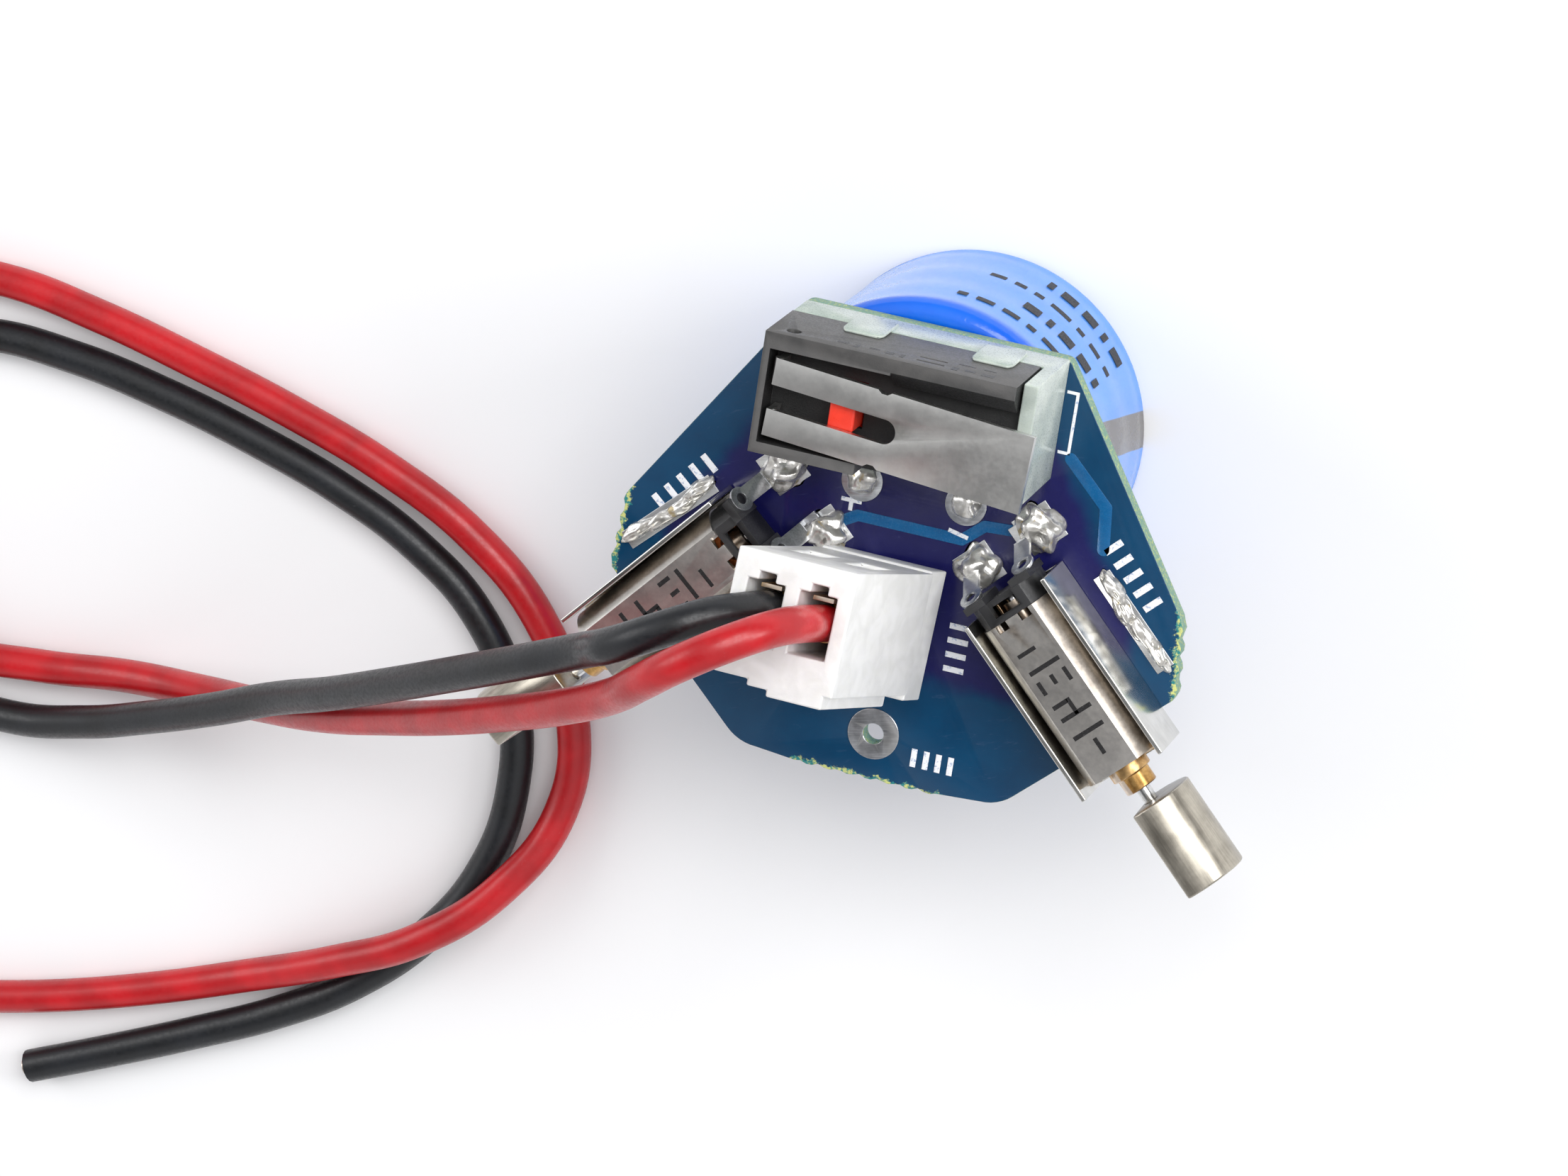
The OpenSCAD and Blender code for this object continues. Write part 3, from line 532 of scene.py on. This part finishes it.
WEIGHT_A = metal("weight_alloy_a", *satin, 0.3, tuple(axis_a), 0.02)
WEIGHT_B = metal("weight_alloy_b", *satin, 0.3, tuple(axis_b), 0.02)
MAGNET = metal("magnet", colour(66, 66, 70), colour(104, 104, 108), 0.5)
ALUMINIUM = metal("aluminium", colour(176, 178, 182), colour(228, 230, 234), 0.3)
COPPER = metal("copper_strand", colour(150, 110, 70), colour(224, 186, 140), 0.35)
COIL = winding()
BLACK_MOULDING = moulded("black_moulding", colour(14, 14, 15), colour(30, 30, 32), 0.42, 0.012)
CELL = moulded("cell_rubber", colour(24, 24, 25), colour(42, 42, 44), 0.7, 0.03)
SWITCH_GREY = moulded("switch_grey", colour(62, 62, 62), colour(80, 79, 78), 0.45, 0.02, edge=0.2)
# painted shade: a darker copy of the switch's grey for the case's faces inside the recess
SWITCH_RECESS_SHADE = moulded("switch_recess_shade", colour(20, 20, 21), colour(34, 34, 34), 0.55, 0.02, edge=0.1)
SWITCH_CREAM = moulded(
    "switch_cream", colour(140, 158, 146), colour(176, 190, 176), 0.3, 0.01, sub=0.35, coat=0.3
)
PLUNGER = moulded("plunger_red", colour(206, 28, 12), colour(238, 48, 22), 0.34, 0.006, sub=0.1)
NYLON = moulded(
    "connector_nylon", colour(228, 228, 226), colour(242, 242, 241), 0.42, 0.01, sub=0.25, coat=0.1
)
VINYL_BLACK = vinyl("lead_black", colour(12, 14, 17), colour(22, 25, 30), 0.4, 0.1)
VINYL_RED = vinyl("lead_red", colour(168, 10, 20), colour(196, 18, 28), 0.36, 0.15)
FILM = sleeve_film()
BLACK_INK = ink("black_ink", colour(26, 25, 26))
DIM_INK = ink("dim_ink", colour(44, 44, 44), 0.4)

black_lead.data.materials.append(VINYL_BLACK)
red_lead.data.materials.append(VINYL_RED)

# ---- building pieces ----


def new_piece(name, mesh, body, nodes=()):
    """A visible piece on a body, shown in place of the nodes it is given."""
    piece = bpy.data.objects.new(name, mesh)
    scene.collection.objects.link(piece)
    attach(piece, body)
    if nodes:
        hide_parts(*nodes)
    return piece


def soften(piece, width, segments=3, angle=28.0):
    """Rounded edges, width in millimetres."""
    bevel = piece.modifiers.new("edges", "BEVEL")
    bevel.width = width * MM
    bevel.segments = segments
    bevel.limit_method = "ANGLE"
    bevel.angle_limit = math.radians(angle)
    bevel.harden_normals = True
    bevel.use_clamp_overlap = True


def detail(node, material, width, segments=3, angle=28.0):
    """The CAD node's own shape with softened edges, shown in the node's place."""
    source = frame["nodes"][node]
    mesh = bpy.data.meshes.new(node + "_piece")
    bm = bmesh.new()
    bm.from_mesh(source.data)
    bmesh.ops.remove_doubles(bm, verts=bm.verts, dist=2e-6)
    bmesh.ops.dissolve_limit(bm, angle_limit=math.radians(0.6), verts=bm.verts, edges=bm.edges)
    for face in bm.faces:
        face.smooth = True
        face.material_index = 0
    bm.to_mesh(mesh)
    bm.free()
    mesh.materials.append(material)
    piece = new_piece(node + "_piece", mesh, source["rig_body"], [node])
    soften(piece, width, segments, angle)
    return piece


def paint(node, material):
    """A CAD node that keeps its own shape."""
    mesh = frame["nodes"][node].data
    mesh.materials.clear()
    mesh.materials.append(material)


def bar(bm, place, low, high):
    """A box between two corners, in the millimetres of place."""
    made = bmesh.ops.create_cube(bm, size=1)["verts"]
    low, high = Vector(low), Vector(high)
    size = Matrix.Diagonal((*(high - low), 1))
    bmesh.ops.transform(bm, verts=made, matrix=place @ Matrix.Translation((low + high) / 2) @ size)


def bars(name, body, material, place, boxes):
    """Printed bars from pairs of corners, in the millimetres of place."""
    bm = bmesh.new()
    for low, high in boxes:
        bar(bm, place, low, high)
    mesh = bpy.data.meshes.new(name)
    for face in bm.faces:
        face.smooth = True
    bm.to_mesh(mesh)
    bm.free()
    mesh.materials.append(material)
    piece = new_piece(name, mesh, body)
    soften(piece, 0.015, 2)


def lump(bm, place, centre, size, seed, spikes):
    """A blob of solder: a pulled and dented ball with a flat foot, in the millimetres of place."""
    made = bmesh.ops.create_icosphere(bm, subdivisions=4, radius=1)["verts"]
    for vert in made:
        p = vert.co.copy()
        pull = noise.noise(p * 1.5 + Vector((seed, 3.1, 1.7))) * spikes
        pull += noise.noise(p * 2.6 + Vector((2.9, seed, 0.4))) * spikes * 0.15
        p *= 1 + pull
        p.z = max(p.z, -0.05)
        vert.co = Vector((p.x * size[0], p.y * size[1], p.z * size[2])) + Vector(centre)
    bmesh.ops.transform(bm, verts=made, matrix=place)


def lathe(name, profile, steps, body, material, nodes):
    """A turned piece from a closed (radius, height) outline in millimetres."""
    bm = bmesh.new()
    rings = []
    for radius, height in profile:
        if radius < 1e-6:
            rings.append([bm.verts.new((0, 0, height * MM))])
        else:
            rings.append([
                bm.verts.new((radius * math.cos(a) * MM, radius * math.sin(a) * MM, height * MM))
                for a in (2 * math.pi * k / steps for k in range(steps))
            ])
    for below, above in zip(rings, rings[1:] + rings[:1]):
        for k in range(steps):
            j = (k + 1) % steps
            # a ring of one vert closes the piece on its axis, so the same vert may come twice
            ring_corners = ((below, k), (below, j), (above, j), (above, k))
            corners = list(dict.fromkeys(ring[i % len(ring)] for ring, i in ring_corners))
            if len(corners) > 2:
                bm.faces.new(corners)
    bmesh.ops.recalc_face_normals(bm, faces=bm.faces)
    for face in bm.faces:
        face.smooth = True
    mesh = bpy.data.meshes.new(name)
    bm.to_mesh(mesh)
    bm.free()
    mesh.materials.append(material)
    return new_piece(name, mesh, body, nodes)


def board():
    """Mask on the two faces and bare laminate round the edge, with the copper and print on top."""
    plate = detail("circuit_board", MASK, 0.05, 2, 50)
    plate.data.materials.append(EDGE)
    for face in plate.data.polygons:
        if abs(face.normal.z) < 0.5:
            face.material_index = 1
    detail("board_traces", TRACE, 0.012, 2)
    detail("board_marks", WHITE_INK, 0.012, 2)
    detail("solder_pads", TIN, 0.02, 2)
    detail("tail_pad", TIN, 0.03, 3, 40)


def solder_blobs():
    """Blobs on the motor lugs, long beads beside the clips and cones on the capacitor's pins."""
    # motor A sits askew, so its pads are motor B's mirrored across the board
    mirror = Matrix.Translation(BOARD) @ Matrix.Scale(-1, 4, (1, 0, 0)) @ Matrix.Translation(-BOARD)
    pads_a = Matrix.Scale(MM, 4) @ mirror @ Matrix.Scale(1 / MM, 4) @ motor_b
    bm = bmesh.new()
    for seed, place in ((1.3, pads_a), (7.9, motor_b)):
        lump(bm, place, (-6.75, 2.3, 0.06), (1.15, 0.98, 0.95), seed, 0.45)
        lump(bm, place, (-6.7, -1.3, 0.06), (1.0, 0.95, 0.9), seed + 2, 0.45)
        for k in range(4):
            side = 3.52 + 0.12 * math.sin(k * 2.3 + seed)
            tall = 0.36 + 0.08 * math.sin(k * 1.7 + seed)
            lump(bm, place, (-2.55 + 1.25 * k, side, 0.05), (0.9, 0.36, tall), seed + k, 0.4)
    for side in (-1, 1):
        centre = (0.1 + CAP_LEAD_HALF * side, 3.1, 0.05)
        lump(bm, board_mm, centre, (0.72, 0.72, 0.5), 4.4 + side, 0.25)
    mesh = bpy.data.meshes.new("solder_blobs")
    for face in bm.faces:
        face.smooth = True
    bm.to_mesh(mesh)
    bm.free()
    mesh.materials.append(SOLDER)
    new_piece("solder_blobs", mesh, "root", ["solder_joints"])


def sleeve():
    """The heat-shrunk sleeve: a turned wall with faint waves and a rim drawn in over the top."""
    r, h = SLEEVE_RADIUS, SLEEVE_HEIGHT
    foot = [(0, 0), (r - 1.6, 0), (r - 0.95, 0.03)]
    for k in range(1, 10):
        a = math.radians(10 * k)
        foot.append((r - 0.75 + 0.75 * math.sin(a), 0.78 - 0.75 * math.cos(a)))
    wall = [(r - 0.035 + 0.03 * math.sin(k * 1.3), 0.9 + k * (h - 2.1) / 14) for k in range(15)]
    rim = []
    for k in range(1, 9):
        a = math.radians(10 * k)
        rim.append((r - 0.8 + 0.8 * math.cos(a), h - 0.82 + 0.8 * math.sin(a)))
    rim += [(r - 0.95, h), (r - 1.1, h - 0.03), (r - 1.25, h - 0.12)]
    rim += [(r - 1.4, h - 0.16), (r - 1.75, h - 0.16), (r - 1.8, h - 0.2)]
    inside = [(r - 1.75, h - 0.26), (r - 1.2, h - 0.26), (r - 0.4, h - 0.9)]
    inside += [(r - 0.25, 1.0), (r - 1.2, 0.15), (0, 0.15)]
    profile = foot + wall + rim + inside
    lathe("sleeve", profile, 160, "root", FILM, ["cap_sleeve"])


def sleeve_marks():
    """Plain printed bars round the sleeve, in place of any lettering."""
    # each row: height, how tall its bars are, and the bars' widths
    rows = [
        (8.9, 0.5, [0.9, 0.5, 1.1, 0.5, 0.9, 0.9, 0.5]),
        (6.7, 0.9, [0.35, 0.9, 0.9, 0.35, 0.9]),
        (4.6, 0.5, [0.5, 0.8, 0.5, 1.2, 0.5, 0.6, 0.8]),
        (2.4, 0.9, [0.9, 0.35, 0.9, 0.9, 0.35]),
    ]
    spans = 4
    gap = 0.45
    proud = SLEEVE_RADIUS + 0.004
    bm = bmesh.new()
    for height, tall, widths in rows:
        along = math.radians(34) * SLEEVE_RADIUS
        for width in widths:
            ring = []
            for k in range(spans + 1):
                a = (along + width * k / spans) / SLEEVE_RADIUS
                x = proud * math.cos(a) * MM
                y = proud * math.sin(a) * MM
                low = bm.verts.new((x, y, (height - tall / 2) * MM))
                high = bm.verts.new((x, y, (height + tall / 2) * MM))
                ring.append((low, high))
            for (low_0, high_0), (low_1, high_1) in zip(ring, ring[1:]):
                bm.faces.new((low_0, low_1, high_1, high_0)).smooth = True
            along += width + gap
    mesh = bpy.data.meshes.new("sleeve_marks")
    bm.to_mesh(mesh)
    bm.free()
    mesh.materials.append(BLACK_INK)
    new_piece("sleeve_marks", mesh, "root")


def switch():
    """The lever switch, with painted shade on the case's faces inside its recess, and plain bars printed on
    its back.
    """
    case = detail("switch_case", SWITCH_GREY, 0.03)
    case.data.materials.append(SWITCH_RECESS_SHADE)
    to_switch = switch_mm.inverted()
    # painted shade: the case's faces inside the recess take the darker grey
    for face in case.data.polygons:
        x, y, z = to_switch @ face.center
        if z < 6.36 and abs(y) < 2.5 and -6.1 < x < 6.2:
            face.material_index = 1
    detail("switch_base", SWITCH_CREAM, 0.1)
    detail("switch_lever", LEVER, 0.05)
    detail("switch_plunger", PLUNGER, 0.12)
    detail("switch_blade", BRASS, 0.02)
    detail("switch_terminals", BRASS, 0.03)
    # each bar: its low corner's x and z, its width and its height
    glyphs = [
        (-3.2, 5.3, 0.5, 0.35), (-2.4, 5.3, 0.25, 0.5), (-1.7, 5.3, 0.5, 0.2),
        (-0.9, 5.3, 0.4, 0.4), (-0.2, 5.3, 0.2, 0.5), (2.3, 5.4, 0.3, 0.5),
        (2.9, 5.4, 0.5, 0.25), (3.7, 5.4, 0.6, 0.4), (2.4, 4.7, 0.8, 0.14), (3.6, 4.7, 0.6, 0.14),
    ]
    boxes = [
        ((x, SWITCH_BACK - INK_SUNK, z), (x + wide, SWITCH_BACK + INK_PROUD, z + tall))
        for x, z, wide, tall in glyphs
    ]
    bars("switch_marks", "root", DIM_INK, switch_mm, boxes)


def motor(m, place, clip, can, weight):
    """One vibration motor, with plain bars printed on top of its can."""
    detail(f"motor_{m}_clip", clip, 0.06)
    detail(f"motor_{m}_can", can, 0.1, 3, 24)
    detail(f"motor_{m}_end_cap", BLACK_MOULDING, 0.08)
    detail(f"motor_{m}_lugs", TIN, 0.05)
    detail(f"motor_{m}_bearing", BRASS, 0.08, 3, 40)
    detail(f"motor_{m}_shaft", SHAFT, 0.06, 3, 40)
    detail(f"motor_{m}_weight", weight, 0.1, 3, 40)
    detail(f"motor_{m}_brushes", BRASS, 0.02)
    paint(f"motor_{m}_magnet", MAGNET)
    paint(f"motor_{m}_coil", COIL)
    paint(f"motor_{m}_commutator", BRASS)
    # each bar: its low corner's x and y, its width and its height
    glyphs = [
        (-2.5, -0.65, 0.2, 1.0), (-1.55, -0.65, 0.22, 1.7), (-0.95, -0.65, 0.7, 0.22),
        (-0.95, 0.1, 0.5, 0.22), (-0.95, 0.83, 0.7, 0.22), (0.35, -0.65, 0.22, 0.85),
        (0.35, 0.12, 0.9, 0.22), (1.05, -0.65, 0.22, 1.7), (2.05, -0.65, 0.22, 1.7),
        (2.6, 0.12, 0.85, 0.22),
    ]
    # the 0.2 brings the middle of the print over the can's axis
    boxes = [
        ((x, y - 0.2, CAN_TOP - INK_SUNK), (x + wide, y - 0.2 + tall, CAN_TOP + INK_PROUD))
        for x, y, wide, tall in glyphs
    ]
    bars(f"motor_{m}_marks", "root", BLACK_INK, place, boxes)


board()
solder_blobs()
sleeve()
paint("cap_can", ALUMINIUM)
paint("cap_base", BLACK_MOULDING)
paint("cap_leads", TIN)
paint("cap_cells", CELL)
sleeve_marks()
switch()
motor("a", motor_a, CLIP_A, CAN_A, WEIGHT_A)
motor("b", motor_b, CLIP_B, CAN_B, WEIGHT_B)
detail("header_body", NYLON, 0.1)
detail("header_pins", TIN, 0.06)
detail("plug_housing", NYLON, 0.1)
detail("plug_terminals", BRASS, 0.04)
paint("lead_cores", COPPER)

# ---- floor, light and view transform ----


def paper_floor():
    """A plain pale floor just under the object's lowest point."""
    bm = bmesh.new()
    bmesh.ops.create_grid(bm, x_segments=2, y_segments=2, size=1.5)
    mesh = bpy.data.meshes.new("floor")
    bm.to_mesh(mesh)
    bm.free()
    s = Surface("paper")
    paper = s.done(
        Base_Color=s.mix(s.noise(0.02, 3), (0.86, 0.865, 0.875), (0.9, 0.9, 0.905)),
        Roughness=0.75,
        Normal=s.bump(s.noise(2.5, 4), 0.01, 0.3),
    )
    mesh.materials.append(paper)
    floor = bpy.data.objects.new("floor", mesh)
    floor.location.z = cad_box[0][2] - 0.00002
    scene.collection.objects.link(floor)


def softbox(name, place, size, power):
    """A rectangular light aimed at the middle of the scene."""
    light = bpy.data.lights.new(name, "AREA")
    light.shape = "RECTANGLE"
    light.size, light.size_y = size
    light.energy = power
    lamp = bpy.data.objects.new(name, light)
    lamp.location = place
    lamp.rotation_mode = "QUATERNION"
    lamp.rotation_quaternion = (-Vector(place)).to_track_quat("-Z", "Y")
    scene.collection.objects.link(lamp)


def pale_room():
    """A pale world with a dark patch overhead, so that flat faces keep their depth."""
    dark_towards = (-0.24, -0.31, 0.92)
    # how near to that direction, and the light level there
    levels = ((0.0, 0.4), (0.35, 0.8), (0.8, 1.0), (0.93, 0.6), (0.985, 0.22))
    world = bpy.data.worlds.new("world")
    world.use_nodes = True
    scene.world = world
    tree = world.node_tree
    direction = tree.nodes.new("ShaderNodeTexCoord").outputs["Generated"]
    nearness = tree.nodes.new("ShaderNodeVectorMath")
    nearness.operation = "DOT_PRODUCT"
    nearness.inputs[1].default_value = dark_towards
    tree.links.new(direction, nearness.inputs[0])
    ramp = tree.nodes.new("ShaderNodeValToRGB")
    tree.links.new(nearness.outputs["Value"], ramp.inputs[0])
    while len(ramp.color_ramp.elements) < len(levels):
        ramp.color_ramp.elements.new(0.5)
    for element, (place, level) in zip(ramp.color_ramp.elements, levels):
        element.position = place
        element.color = (level, level, level * 1.02, 1)
    background = tree.nodes["Background"]
    tree.links.new(ramp.outputs[0], background.inputs[0])
    background.inputs[1].default_value = 0.75


paper_floor()
softbox("key", (0.26, 0.36, 0.56), (0.5, 0.4), 3.3)
softbox("side", (0.5, 0.2, 0.32), (0.2, 0.2), 1.0)
softbox("fill", (-0.5, 0.1, 0.35), (0.3, 0.3), 0.7)
pale_room()
scene.view_settings.view_transform = "Standard"

bpy.context.view_layer.update()
